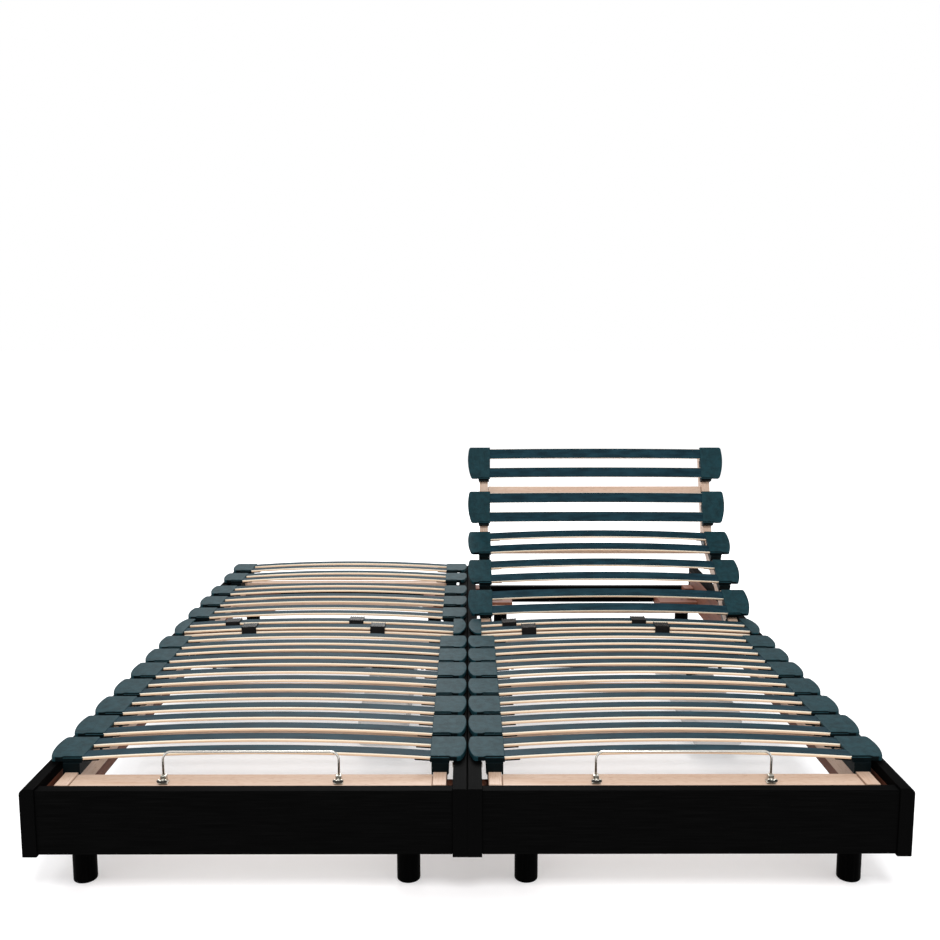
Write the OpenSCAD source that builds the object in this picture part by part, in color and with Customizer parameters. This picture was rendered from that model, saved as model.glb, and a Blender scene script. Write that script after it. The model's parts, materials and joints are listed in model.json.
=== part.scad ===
// Twin electric adjustable bed base: two identical slatted units side by side, linked at the seam.
// Origin: centre of the footprint on the floor. X across the bed, Y from foot (-) to head (+), Z up.
// The left unit lies flat. The right unit has its back section and its head section raised.

/* [Box] */
// Width of one unit
unit_w = 900; // [800:10:1000]
// Length of the bed base
unit_l = 2000; // [2000]
// Height of the underside of the side panels
box_z = 110; // [100:5:112]
// Height of the side panels
side_h = 145; // [145]
// Thickness of the side panels
side_t = 30; // [24:1:30]
// Rounding of the top edge of the outer side panels
side_round = 12; // [6:1:16]
// Rounding of the inner side panels where they meet at the seam
seam_round = 3; // [1:0.5:6]
// Thickness of the foot panel and the head rail
end_t = 26; // [20:1:26]
// Height of the low head rail
head_rail_h = 62; // [50:1:70]

/* [Legs] */
// Diameter of a leg
leg_d = 50; // [40:2:60]
// Distance of the leg centres from the foot and head ends
leg_in_y = 120; // [100:5:140]
// Distance of the outer leg centres from the outer side
leg_in_outer = 80; // [70:5:90]
// Distance of the inner leg centres from the seam
leg_in_seam = 126; // [110:2:140]

/* [Articulated frame] */
// Width of a beech rail
rail_w = 29; // [27:1:30]
// Height of a beech rail
rail_h = 48; // [44:2:50]
// Height of the hinge axes above the floor
hinge_z = 211; // [211]
// Position of the back hinge along the bed
back_y = 170; // [170]
// Position of the head hinge along the bed
head_y = 669.5; // [669.5]
// Position of the thigh hinge along the bed
thigh_y = 70; // [70]
// Position of the knee hinge along the bed
knee_y = -355; // [-355]
// Rest angle of the back section of each unit
back_rest = [0, 28.3];
// Rest angle of the head section of each unit, measured from its back section
head_rest = [0, 43.5];

/* [Slats and holders] */
// Width of a slat
slat_w = 34; // [30:1:36]
// Thickness of a slat
slat_t = 8; // [7:0.5:9]
// Rise of a slat's middle over its ends
slat_rise = 14; // [8:1:16]
// Length of a holder plate along the bed
holder_l = 112; // [108:1:116]
// Reach of a holder plate across the bed
holder_w = 76; // [70:1:78]
// Radius of a plate's bulging outer edge
plate_bulge = 200; // [120:10:240]
// Height of the top of the holder plates
holder_z = 268; // [268]

/* [Firmness sliders] */
// Positions across the unit: rear outer, rear inner, front outer, front inner
left_sliders = [-274, 107, -211, 178];
// The same for the right unit
right_sliders = [-320, 80, -263, 141];
// Width of a slider across the bed
slider_w = 44; // [36:2:50]

/* [Mattress retainer] */
// Width of the wire bar
bar_w = 370; // [300:10:420]
// Diameter of the wire
bar_d = 6; // [5:0.5:8]
// Height of the bar above the crossbar
bar_h = 70; // [50:5:90]

/* [Lifting gear] */
// Diameter of a lifting tube
tube_d = 25; // [25]
// Length of a back lifting arm
back_arm = 200; // [180:10:220]
// Length of a leg lifting arm
leg_arm = 160; // [140:10:180]
// Position of the drive housing across the unit
drive_x = 222; // [200:2:240]

/* [Hidden] */
$fn = 64;
LEFT = 0;
RIGHT = 1;
half_w = unit_w / 2;
half_l = unit_l / 2;
side_in = half_w - side_t;
side_z = box_z + side_h;
end_z = [box_z + 4, box_z + side_h - 5];
foot_recess = 4;

// Beech rails: outer face, inner face and the inset of a rail that a hinge strap runs along
rail_out = half_w - 44;
rail_in = rail_out - rail_w;
rail_z = hinge_z - rail_h / 2;
rail_top = rail_z + rail_h;
rail_play = 0.4;
joint_gap = 2;
rail_stop = rail_h / 2 + joint_gap;
// The back rails stop further from their hinge, so that they pass behind the lumbar slats
back_stop = 38;
cross_gap = 0.3;
spreader_r = 13;

// Hinges
pin_r = 6;
pin_play = 0.05;
strap_t = 4.6;
strap_h = 30;
strap_l = 58;
back_strap_l = 72;
strap_r = strap_h / 2;

// Holder rows: front edge of each plate
calf_rows = [for (i = [0 : 3]) -868 + 130 * i];
thigh_rows = [for (i = [0 : 2]) -345 + 125 * i];
back_rows = [for (i = [0 : 2]) 222 + 148 * i];
head_rows = [for (i = [0 : 1]) 710 + 157 * i];
holder_in = half_w - 4 - holder_w;
plate_t = 6;
pocket_z = holder_z - 14;
pocket_w = 42;
saddle_l = 75;
saddle_lip = 3.5;
saddle_z = rail_top - 6;
saddle_front = -6;
fit_gap = 0.3;
// Extra height in a pocket, because the bowed slat rises inside it
bow_room = 1.5;
slat_top = holder_z - 3.5;
slat_front = 5;
slat_rear = holder_l - 6 - slat_w;
slat_half = holder_in + 18;

// Lumbar zone on the fixed seat
lumbar_plate = [42, 200];
lumbar_rows = [70, 134];
lumbar_in = rail_out + 1;
lumbar_saddle = [76, 144];
lumbar_saddle_top = 244;
pocket_rim = 6;
lumbar_half = lumbar_in + 12;
lumbar_low_half = lumbar_in + 6;
pair_gap = 4;
slider_play = 2.5;
slider_wall = 3;
slider_side_play = 1.5;

// Fixed gear under the seat
bearer_y = [78, 122];
bearer_size = [30, 40];
bearer_z = rail_z - bearer_size[1];
lug_x = 310;
lug_t = 8;
tube_z = hinge_z - 38;
back_tube_y = back_y + 21;
leg_tube_y = thigh_y - 10.5;
tube_half = 400;
arm_t = 16;
arm_x = rail_in + rail_w / 2;
arm_rise = 1.5;
arm_tip_r = 12;
crank_l = 55;
crank_w = 20;
crank_r = 9;
tube_wall = 2.5;
drive_w = 130;
drive_y = [-330, 370];
drive_z = [66, bearer_z];
drive_round = 22;

// Small fixed parts
block = [140, 140, 38];
block_z = box_z + 2;
stud_r = 5;
ledge_w = 35;
ledge_z = [165, rail_z - 0.5];
// Foot end and head end of each ledge pair
ledge_foot = [-960, -800];
ledge_head = [900, 960];
bolt_r = 4;
bolt_z = 150;
bolt_y = [-640, 640];
bolt_head = [6.5, 5.5];

// Foot crossbar and retainer
crossbar_y = [-933, -875];
crossbar_z = [207, 232];
bar_y = -918;
bar_bend = 17;
clamp = [18, 18, 18];

beech = "#E4C4AC";
foil = "#3D5864";
rubber = "#32505A";
black = "#101010";
steel = "#B8BCC0";
dark_steel = "#2A2C2E";
reddish = "#8A4C2C";
pale_grey = "#C8CACC";

// ---- placing ----

module at_unit(unit) {
  translate([unit == LEFT ? -half_w : half_w, 0, 0])
    children();
}

module both_units() {
  for (unit = [LEFT, RIGHT])
    at_unit(unit)
      children();
}

// Turns its children about an axis along X through the given point
module turned(y, z, angle) {
  translate([0, y, z])
    rotate([angle, 0, 0])
      translate([0, -y, -z])
        children();
}

module on_back(unit) {
  at_unit(unit)
    turned(back_y, hinge_z, back_rest[unit])
      children();
}

module on_head(unit) {
  on_back(unit)
    turned(head_y, hinge_z, head_rest[unit])
      children();
}

module both_sides() {
  for (side = [0, 1])
    mirror([side, 0, 0])
      children();
}

// A block given by its lowest and highest corners
module span(low, high) {
  translate(low)
    cube(high - low);
}

// A cylinder along X, from x0 to x1
module rod_x(x0, x1, y, z, r) {
  translate([x0, y, z])
    rotate([0, 90, 0])
      cylinder(r = r, h = x1 - x0);
}

// ---- box ----

module side_profile(r) {
  square([side_t - r, side_h]);
  square([side_t, side_h - r]);
  translate([side_t - r, side_h - r])
    circle(r = r);
}

// A side panel with its rounded edge towards +X; the inner ones are drilled for the linking bolts
module side_panel(round_r, drilled) {
  color(black)
    difference() {
      translate([side_in, half_l, box_z])
        rotate([90, 0, 0])
          linear_extrude(unit_l)
            side_profile(round_r);
      if (drilled)
        for (y = bolt_y)
          rod_x(side_in - 1, half_w + 1, y, bolt_z, bolt_r + 0.2);
    }
}

module foot_panel() {
  color(black)
    span([-side_in, -half_l + foot_recess, end_z[0]], [side_in, -half_l + foot_recess + end_t, end_z[1]]);
}

module head_rail() {
  color(black)
    span([-side_in, half_l - end_t, end_z[0]], [side_in, half_l, end_z[0] + head_rail_h]);
}

module leg() {
  color(black)
    rotate_extrude()
      polygon([
        [0, 0], [leg_d / 2 - 2, 0], [leg_d / 2, 2], [leg_d / 2, block_z],
        [stud_r, block_z], [stud_r, block_z + 30], [0, block_z + 30]
      ]);
}

// The four leg places of a unit: the seam side has the wider set-back
function leg_x(unit) = unit == LEFT
  ? [-half_w + leg_in_outer, half_w - leg_in_seam]
  : [-half_w + leg_in_seam, half_w - leg_in_outer];

module leg_places() {
  for (unit = [LEFT, RIGHT])
    at_unit(unit)
      for (x = leg_x(unit), side = [-1, 1])
        translate([x, side * (half_l - leg_in_y), 0])
          children();
}

module legs() {
  leg_places()
    leg();
}

// Boards in the corners that take the leg studs
module corner_blocks() {
  color(reddish)
    for (unit = [LEFT, RIGHT])
      at_unit(unit)
        for (x = leg_x(unit), side = [-1, 1])
          difference() {
            corner_block(x < 0 ? -1 : 1, side);
            translate([x, side * (half_l - leg_in_y), block_z - 1])
              cylinder(r = stud_r + 0.2, h = block[2] + 2);
          }
}

module corner_block(x_side, y_side) {
  end_face = half_l - end_t - (y_side < 0 ? foot_recess : 0);
  x_low = x_side < 0 ? -side_in : side_in - block[0];
  y_low = y_side < 0 ? -end_face : end_face - block[1];
  translate([x_low, y_low, block_z])
    cube(block);
}

// Short ledges that the moving rails lie on at the foot and at the head
module rest_ledges() {
  color(reddish)
    both_units()
      both_sides()
        for (y = [ledge_foot, ledge_head])
          span([side_in - ledge_w, y[0], ledge_z[0]], [side_in, y[1], ledge_z[1]]);
}

// Bolts through both inner side panels, with a head on one side and a nut on the other
module linking_bolts() {
  color(steel)
    for (y = bolt_y) {
      rod_x(-side_t, side_t, y, bolt_z, bolt_r);
      rod_x(-side_t - bolt_head[1], -side_t, y, bolt_z, bolt_head[0]);
      translate([side_t, y, bolt_z])
        rotate([0, 90, 0])
          cylinder(r = bolt_head[0] + 1, h = bolt_head[1], $fn = 6);
    }
}

// ---- beech frames ----

// A rail with a round, bored end on the hinge axis; it starts at the pin and runs to y_end
module bored_rail(pin_y, y_end) {
  low = min(pin_y, y_end);
  high = max(pin_y, y_end);
  both_sides()
    difference() {
      union() {
        span([rail_in + rail_play, low, rail_z], [rail_out, high, rail_top]);
        rod_x(rail_in + rail_play, rail_out, pin_y, hinge_z, rail_h / 2);
      }
      rod_x(rail_in - 1, rail_out + 1, pin_y, hinge_z, pin_r + pin_play);
    }
}

module plain_rail(y_low, y_high) {
  both_sides()
    span([rail_in, y_low, rail_z], [rail_out, y_high, rail_top]);
}

module flat_cross(y_span, z_span) {
  reach = rail_in - cross_gap;
  span([-reach, y_span[0], z_span[0]], [reach, y_span[1], z_span[1]]);
}

module spreader(y) {
  reach = rail_in - cross_gap;
  rod_x(-reach, reach, y, hinge_z, spreader_r);
}

module seat_frame() {
  color(beech) {
    both_sides()
      difference() {
        union() {
          span([rail_in + rail_play, thigh_y, rail_z], [rail_out, back_y, rail_top]);
          for (y = [thigh_y, back_y])
            rod_x(rail_in + rail_play, rail_out, y, hinge_z, rail_h / 2);
        }
        for (y = [thigh_y, back_y])
          rod_x(rail_in - 1, rail_out + 1, y, hinge_z, pin_r + pin_play);
      }
    flat_cross([95, 135], [rail_z, rail_z + 30]);
  }
}

module back_frame() {
  color(beech) {
    plain_rail(back_y + back_stop, head_y - rail_stop);
    spreader(302);
    spreader(597);
  }
}

module head_frame() {
  color(beech) {
    bored_rail(head_y, 962);
    flat_cross([808, 846], crossbar_z);
    flat_cross([950, 966], crossbar_z);
  }
}

module thigh_frame() {
  color(beech) {
    plain_rail(knee_y + rail_stop, thigh_y - rail_stop);
    spreader(-280);
    spreader(-60);
  }
}

module calf_frame() {
  color(beech) {
    bored_rail(knee_y, -935);
    flat_cross(crossbar_y, crossbar_z);
    spreader(-600);
  }
}

// Steel strap on the inner face of a rail, with a pin that turns in the next rail
module strap(pin_y, direction, length) {
  end_y = pin_y + direction * length;
  both_sides() {
    span(
      [rail_in - strap_t, min(pin_y, end_y), hinge_z - strap_r],
      [rail_in, max(pin_y, end_y), hinge_z + strap_r]
    );
    rod_x(rail_in - strap_t, rail_in, pin_y, hinge_z, strap_r);
    rod_x(rail_in - strap_t - 4, rail_out, pin_y, hinge_z, pin_r);
  }
}

module back_hinges() {
  color(dark_steel) {
    strap(back_y, 1, back_strap_l);
    strap(head_y, -1, strap_l);
  }
}

module thigh_hinges() {
  color(dark_steel) {
    strap(thigh_y, -1, strap_l);
    strap(knee_y, 1, strap_l);
  }
}

// ---- slat holders and slats ----

// Plate outline seen from above: straight inner edge, bulging outer edge, rounder towards the foot
module plate_outline(length) {
  widest = 0.6;
  intersection() {
    square([holder_w, length]);
    translate([holder_w - plate_bulge, widest * length])
      circle(r = plate_bulge);
  }
}

module slat_pocket(x_end, y, z_low) {
  span(
    [holder_in - 1, y - fit_gap, z_low - fit_gap],
    [x_end + fit_gap, y + slat_w + fit_gap, z_low + slat_t + bow_room]
  );
}

// Saddle that clips over a beech rail
module saddle(y_low, y_high, top) {
  difference() {
    span([rail_in - saddle_lip, y_low, saddle_z], [rail_out + saddle_lip, y_high, top]);
    span(
      [rail_in - fit_gap, y_low - 1, saddle_z - 1],
      [rail_out + fit_gap, y_high + 1, rail_top + fit_gap]
    );
  }
}

// A pair of holders, left and right, for one double row of slats
module holder_pair(row, front) {
  both_sides()
    difference() {
      union() {
        translate([holder_in, row, holder_z - plate_t])
          linear_extrude(plate_t)
            plate_outline(holder_l);
        span([holder_in, row, pocket_z], [holder_in + pocket_w, row + holder_l, holder_z - plate_t]);
        saddle(row + front, row + front + saddle_l, pocket_z);
      }
      for (offset = [slat_front, slat_rear])
        slat_pocket(slat_half, row + offset, slat_top - slat_t);
    }
}

// Height of a bowed slat's top at x, above its ends
function bow(x, half) = slat_rise * (1 - pow(x / half, 2));

// A bowed slat lying across the unit, its top at z_end at the ends
module bowed_slat(half, y, z_end) {
  steps = 16;
  xs = [for (i = [0 : steps]) -half + 2 * half * i / steps];
  top = [for (x = xs) [x, bow(x, half)]];
  under = [for (i = [steps : -1 : 0]) [xs[i], bow(xs[i], half) - slat_t]];
  translate([0, y + slat_w, z_end])
    rotate([90, 0, 0])
      linear_extrude(slat_w)
        polygon(concat(top, under));
}

module slat_pair(row) {
  for (offset = [slat_front, slat_rear])
    bowed_slat(slat_half, row + offset, slat_top);
}

module holders(rows, fronts) {
  color(rubber)
    for (i = [0 : len(rows) - 1])
      holder_pair(rows[i], fronts[i]);
}

module slats(rows) {
  color(foil)
    for (row = rows)
      slat_pair(row);
}

module back_holders() {
  holders(back_rows, [15, saddle_front, saddle_front]);
}

module head_holders() {
  holders(head_rows, [saddle_front, saddle_front]);
}

module thigh_holders() {
  holders(thigh_rows, [20, saddle_front, saddle_front]);
}

module calf_holders() {
  holders(calf_rows, [for (row = calf_rows) saddle_front]);
}

// Narrow end caps of the lumbar zone, each holding two pairs of slats
module lumbar_holder_pair() {
  length = lumbar_plate[1] - lumbar_plate[0];
  cap_w = half_w - 4 - lumbar_in;
  wall = side_in - 2;
  low_z = lumbar_saddle_top - 4;
  both_sides()
    difference() {
      union() {
        translate([lumbar_in, lumbar_plate[0], holder_z - plate_t])
          linear_extrude(plate_t)
            intersection() {
              square([cap_w, length]);
              translate([cap_w - length, 0.55 * length])
                circle(r = length);
            }
        span(
          [lumbar_in, lumbar_rows[0] - pocket_rim, low_z],
          [wall, lumbar_rows[1] + slat_w + pocket_rim, holder_z - plate_t]
        );
        saddle(lumbar_saddle[0], lumbar_saddle[1], lumbar_saddle_top);
      }
      for (y = lumbar_rows) {
        slat_pocket(lumbar_half, y, slat_top - slat_t);
        slat_pocket(lumbar_low_half, y, slat_top - 2 * slat_t - pair_gap);
      }
    }
}

module lumbar_holders() {
  color(rubber)
    lumbar_holder_pair();
}

module lumbar_upper_slats() {
  color(foil)
    for (y = lumbar_rows)
      bowed_slat(lumbar_half, y, slat_top);
}

// The lower slats follow the upper ones at a constant gap
module lumbar_lower_slats() {
  color(beech)
    for (y = lumbar_rows)
      intersection() {
        bowed_slat(lumbar_half, y, slat_top - slat_t - pair_gap);
        span([-lumbar_low_half, y - 1, 0], [lumbar_low_half, y + slat_w + 1, holder_z + slat_rise]);
      }
}

// ---- firmness sliders ----

// A sleeve round one upper and one lower slat, at x across the unit
module slider(x, y) {
  stack = 2 * slat_t + pair_gap;
  inner = [slider_w + 2, slat_w + 2 * slider_side_play, stack + 2 * slider_play];
  outer = [slider_w, inner[1] + 2 * slider_wall, inner[2] + 2 * slider_wall];
  slope = -2 * slat_rise * x / pow(lumbar_half, 2);
  color(black)
    translate([x, y + slat_w / 2, slat_top + bow(x, lumbar_half) - stack / 2])
      rotate([0, -atan(slope), 0])
        difference() {
          cube(outer, center = true);
          cube(inner, center = true);
        }
}

module rear_slider(unit, index) {
  at_unit(unit)
    slider((unit == LEFT ? left_sliders : right_sliders)[index], lumbar_rows[1]);
}

module front_slider(unit, index) {
  at_unit(unit)
    slider((unit == LEFT ? left_sliders : right_sliders)[index], lumbar_rows[0]);
}

// ---- mattress retainer ----

module retainer_bar() {
  r = bar_d / 2;
  x = bar_w / 2 - r;
  foot = crossbar_z[1] + 6;
  top = crossbar_z[1] + bar_h - r;
  color(steel)
    translate([0, bar_y, 0]) {
      both_sides() {
        translate([x, 0, foot])
          cylinder(r = r, h = top - bar_bend - foot);
        translate([x - bar_bend, 0, top - bar_bend])
          rotate([90, 0, 0])
            rotate_extrude(angle = 90)
              translate([bar_bend, 0])
                circle(r = r);
      }
      rod_x(-x + bar_bend, x - bar_bend, 0, top, r);
    }
}

// Clamp blocks on the crossbar, each with a wing screw that pinches the wire
module bar_clamps() {
  x = bar_w / 2 - bar_d / 2;
  color(steel)
    both_sides()
      translate([x, bar_y, crossbar_z[1]]) {
        difference() {
          translate([-clamp[0] / 2, -clamp[1] / 2, 0])
            cube(clamp);
          translate([0, 0, 4])
            cylinder(r = bar_d / 2 + 0.1, h = clamp[2]);
        }
        wing_screw();
      }
}

module wing_screw() {
  translate([0, -clamp[1] / 2, clamp[2] / 2]) {
    rotate([90, 0, 0])
      cylinder(r = 4, h = 6);
    translate([-11, -10, -5])
      cube([22, 4, 10]);
  }
}

// ---- lifting gear ----

// Welded subframe: two cross bearers with end flanges and two lugs that carry the lifting tubes
module cross_bearers() {
  color(dark_steel) {
    for (y = bearer_y)
      span([-side_in + 6, y, bearer_z], [side_in - 6, y + bearer_size[0], rail_z]);
    both_sides() {
      span([side_in - 6, 70, bearer_z - 7], [side_in, 160, rail_z - 1]);
      difference() {
        span([lug_x, leg_tube_y - 18, bearer_z + 6], [lug_x + lug_t, back_tube_y + 18, rail_z]);
        for (y = [leg_tube_y, back_tube_y])
          rod_x(lug_x - 1, lug_x + lug_t + 1, y, tube_z, tube_d / 2 + pin_play);
      }
    }
  }
}

// A cross tube with an arm under each rail and a crank that reaches into the drive housing
module lift_tube(y, arm, direction) {
  color(dark_steel)
    difference() {
      union() {
        rod_x(-tube_half, tube_half, y, tube_z, tube_d / 2);
        both_sides()
          lift_arm(y, direction * arm);
        translate([drive_x - crank_w / 2, y - crank_r, tube_z - crank_l])
          cube([crank_w, 2 * crank_r, crank_l]);
        rod_x(drive_x - crank_w / 2, drive_x + crank_w / 2, y, tube_z - crank_l, crank_r);
      }
      rod_x(-tube_half - 1, tube_half + 1, y, tube_z, tube_d / 2 - tube_wall);
    }
}

// A flat arm with a round tip, reach long
module lift_arm(y, reach) {
  translate([arm_x, y, tube_z])
    rotate([0, 90, 0])
      linear_extrude(arm_t, center = true)
        polygon([
          [arm_tip_r, 0], [-arm_tip_r, 0],
          [-arm_rise - arm_tip_r, reach], [-arm_rise + arm_tip_r, reach]
        ]);
  rod_x(arm_x - arm_t / 2, arm_x + arm_t / 2, y + reach, tube_z + arm_rise, arm_tip_r);
}

module back_lift_tube(unit) {
  at_unit(unit)
    turned(back_tube_y, tube_z, back_rest[unit])
      lift_tube(back_tube_y, back_arm, 1);
}

module leg_lift_tube(unit) {
  at_unit(unit)
    lift_tube(leg_tube_y, leg_arm, -1);
}

module rounded_plan(size, r) {
  for (x = [r, size[0] - r], y = [r, size[1] - r])
    translate([x, y])
      circle(r = r);
  translate([r, 0])
    square([size[0] - 2 * r, size[1]]);
  translate([0, r])
    square([size[0], size[1] - 2 * r]);
}

// Long twin drive housing with a well for each crank and a socket recess in its head end
module drive_housing() {
  size = [drive_w, drive_y[1] - drive_y[0]];
  well = 16;
  color(pale_grey)
    difference() {
      translate([drive_x - drive_w / 2, drive_y[0], drive_z[0]])
        linear_extrude(drive_z[1] - drive_z[0])
          rounded_plan(size, drive_round);
      span([drive_x - well, back_tube_y - 18, 100], [drive_x + well, back_tube_y + 70, drive_z[1] + 1]);
      span([drive_x - well, leg_tube_y - 50, 100], [drive_x + well, leg_tube_y + 16, drive_z[1] + 1]);
      span([drive_x - 13, drive_y[1] - 10, 95], [drive_x + 13, drive_y[1] + 1, 110]);
    }
}

// ---- nodes ----

at_unit(LEFT) mirror([1, 0, 0]) side_panel(side_round, false);  // left_outer_side_panel
at_unit(LEFT) side_panel(seam_round, true);  // left_inner_side_panel
at_unit(RIGHT) mirror([1, 0, 0]) side_panel(seam_round, true);  // right_inner_side_panel
at_unit(RIGHT) side_panel(side_round, false);  // right_outer_side_panel
both_units() foot_panel();  // foot_panels
both_units() head_rail();  // head_rails
legs();
corner_blocks();
rest_ledges();
both_units() cross_bearers();
linking_bolts();
both_units() seat_frame();  // seat_frames
both_units() lumbar_holders();
both_units() lumbar_upper_slats();
both_units() lumbar_lower_slats();
both_units() drive_housing();  // drive_housings

on_back(LEFT) back_frame();  // left_back_frame
on_back(LEFT) back_hinges();  // left_back_hinges
on_back(LEFT) back_holders();  // left_back_holders
on_back(LEFT) slats(back_rows);  // left_back_slats
on_head(LEFT) head_frame();  // left_head_frame
on_head(LEFT) head_holders();  // left_head_holders
on_head(LEFT) slats(head_rows);  // left_head_slats
at_unit(LEFT) thigh_frame();  // left_thigh_frame
at_unit(LEFT) thigh_hinges();  // left_thigh_hinges
at_unit(LEFT) thigh_holders();  // left_thigh_holders
at_unit(LEFT) slats(thigh_rows);  // left_thigh_slats
at_unit(LEFT) calf_frame();  // left_calf_frame
at_unit(LEFT) calf_holders();  // left_calf_holders
at_unit(LEFT) slats(calf_rows);  // left_calf_slats
at_unit(LEFT) retainer_bar();  // left_retainer_bar
at_unit(LEFT) bar_clamps();  // left_bar_clamps
rear_slider(LEFT, 0);  // left_rear_outer_slider
rear_slider(LEFT, 1);  // left_rear_inner_slider
front_slider(LEFT, 2);  // left_front_outer_slider
front_slider(LEFT, 3);  // left_front_inner_slider
back_lift_tube(LEFT);  // left_back_lift_tube
leg_lift_tube(LEFT);  // left_leg_lift_tube

on_back(RIGHT) back_frame();  // right_back_frame
on_back(RIGHT) back_hinges();  // right_back_hinges
on_back(RIGHT) back_holders();  // right_back_holders
on_back(RIGHT) slats(back_rows);  // right_back_slats
on_head(RIGHT) head_frame();  // right_head_frame
on_head(RIGHT) head_holders();  // right_head_holders
on_head(RIGHT) slats(head_rows);  // right_head_slats
at_unit(RIGHT) thigh_frame();  // right_thigh_frame
at_unit(RIGHT) thigh_hinges();  // right_thigh_hinges
at_unit(RIGHT) thigh_holders();  // right_thigh_holders
at_unit(RIGHT) slats(thigh_rows);  // right_thigh_slats
at_unit(RIGHT) calf_frame();  // right_calf_frame
at_unit(RIGHT) calf_holders();  // right_calf_holders
at_unit(RIGHT) slats(calf_rows);  // right_calf_slats
at_unit(RIGHT) retainer_bar();  // right_retainer_bar
at_unit(RIGHT) bar_clamps();  // right_bar_clamps
rear_slider(RIGHT, 0);  // right_rear_outer_slider
rear_slider(RIGHT, 1);  // right_rear_inner_slider
front_slider(RIGHT, 2);  // right_front_outer_slider
front_slider(RIGHT, 3);  // right_front_inner_slider
back_lift_tube(RIGHT);  // right_back_lift_tube
leg_lift_tube(RIGHT);  // right_leg_lift_tube
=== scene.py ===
"""Looks of a twin adjustable slatted bed base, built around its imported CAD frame."""

import json
import math

import bmesh
import bpy
import numpy as np
from mathutils import Matrix, Vector

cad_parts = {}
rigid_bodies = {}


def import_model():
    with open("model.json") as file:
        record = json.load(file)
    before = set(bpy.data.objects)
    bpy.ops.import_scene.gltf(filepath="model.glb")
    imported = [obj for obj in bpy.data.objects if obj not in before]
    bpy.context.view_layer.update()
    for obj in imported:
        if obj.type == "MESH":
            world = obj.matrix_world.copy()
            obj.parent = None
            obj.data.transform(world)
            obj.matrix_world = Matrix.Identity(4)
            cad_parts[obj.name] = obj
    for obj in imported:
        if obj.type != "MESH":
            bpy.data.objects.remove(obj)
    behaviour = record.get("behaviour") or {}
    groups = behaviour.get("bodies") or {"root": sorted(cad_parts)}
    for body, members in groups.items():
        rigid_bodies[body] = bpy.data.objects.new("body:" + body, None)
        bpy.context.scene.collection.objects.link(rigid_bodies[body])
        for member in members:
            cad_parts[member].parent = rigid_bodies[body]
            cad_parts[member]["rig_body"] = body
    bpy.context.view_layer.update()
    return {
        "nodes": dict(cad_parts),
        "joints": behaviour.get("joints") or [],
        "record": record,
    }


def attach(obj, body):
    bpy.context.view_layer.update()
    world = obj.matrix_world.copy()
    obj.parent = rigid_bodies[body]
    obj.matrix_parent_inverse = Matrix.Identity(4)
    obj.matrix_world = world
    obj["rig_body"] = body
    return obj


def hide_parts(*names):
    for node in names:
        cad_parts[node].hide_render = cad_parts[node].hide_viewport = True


MM = 0.001
UNITS = ("left", "right")
SECTIONS = ("back", "head", "thigh", "calf")
TINY = 1e-5
SHARP = math.radians(35)
# Each shell's pattern starts this far along and across from the last one's, so that no two look alike.
GRAIN_SHIFT = Vector((0.37, 0.11, 0))

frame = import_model()
joints = {joint["name"]: joint for joint in frame["joints"]}
slots = {part["node"]: part["material_slot"] for part in frame["record"]["subparts"]}


# ---- placing: each section's own frame has its unit's middle at x = 0 and lies flat ----


def rest_angle(joint):
    """How far a section is raised at rest: its joint's range starts at flat."""
    return -math.radians(joints[joint]["range_deg"][0])


def turned(y, z, angle):
    """Turns about an axis along X through y and z."""
    return Matrix.Translation((0, y, z)) @ Matrix.Rotation(angle, 4, "X") @ Matrix.Translation((0, -y, -z))


def placement(body):
    """From a body's flat frame to where it rests. The bodies that don't tilt only have their unit's x."""
    unit = body.split("_")[0]
    back, head = joints[unit + "_back_raise"], joints[unit + "_head_tilt"]
    back_at, head_at = Vector(back["pos_m"]), Vector(head["pos_m"])
    place = Matrix.Translation((back_at.x, 0, 0))
    if body.endswith(("_back", "_head")):
        place = place @ turned(back_at.y, back_at.z, rest_angle(back["name"]))
    if body.endswith("_head"):
        reach = (head_at - back_at).length
        place = place @ turned(back_at.y + reach, back_at.z, rest_angle(head["name"]))
    return place


class Solid:
    """One closed solid of a CAD node: its points in the flat frame, its faces, and the way back."""

    def __init__(self, points, faces, place):
        self.points, self.faces, self.place = points, faces, place
        self.low, self.high = Vector(points.min(0)), Vector(points.max(0))

    def at(self, axis, value):
        """Lowest and highest corner of the points that lie at a value on one axis."""
        found = self.points[np.abs(self.points[:, axis] - value) < 1e-4]
        return Vector(found.min(0)), Vector(found.max(0))


def solids_of(node):
    """The separate solids of a CAD node, lowest X first and then lowest Y."""
    body = frame["nodes"][node]["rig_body"]
    bm = bmesh.new()
    bm.from_mesh(frame["nodes"][node].data)
    bmesh.ops.remove_doubles(bm, verts=bm.verts, dist=TINY)
    bm.verts.index_update()
    seen, found = set(), []
    for start in bm.verts:
        if start.index in seen:
            continue
        island, queue = [], [start]
        seen.add(start.index)
        while queue:
            vert = queue.pop()
            island.append(vert)
            for edge in vert.link_edges:
                other = edge.other_vert(vert)
                if other.index not in seen:
                    seen.add(other.index)
                    queue.append(other)
        place = placement(body) if body != "root" else root_place(island)
        back = place.inverted()
        order = {vert.index: i for i, vert in enumerate(island)}
        faces = {face.index: face for vert in island for face in vert.link_faces}
        points = np.array([back @ vert.co for vert in island])
        triangles = [[order[v.index] for v in face.verts] for face in faces.values()]
        found.append(Solid(points, triangles, place))
    bm.free()
    return sorted(found, key=lambda s: (round(s.low.x, 3), round(s.low.y, 3)))


def root_place(verts):
    """A solid of the fixed body belongs to the unit that its middle lies in."""
    middle = sum(vert.co.x for vert in verts) / len(verts)
    return placement("left" if middle < 0 else "right")


# ---- mesh tools ----


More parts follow.
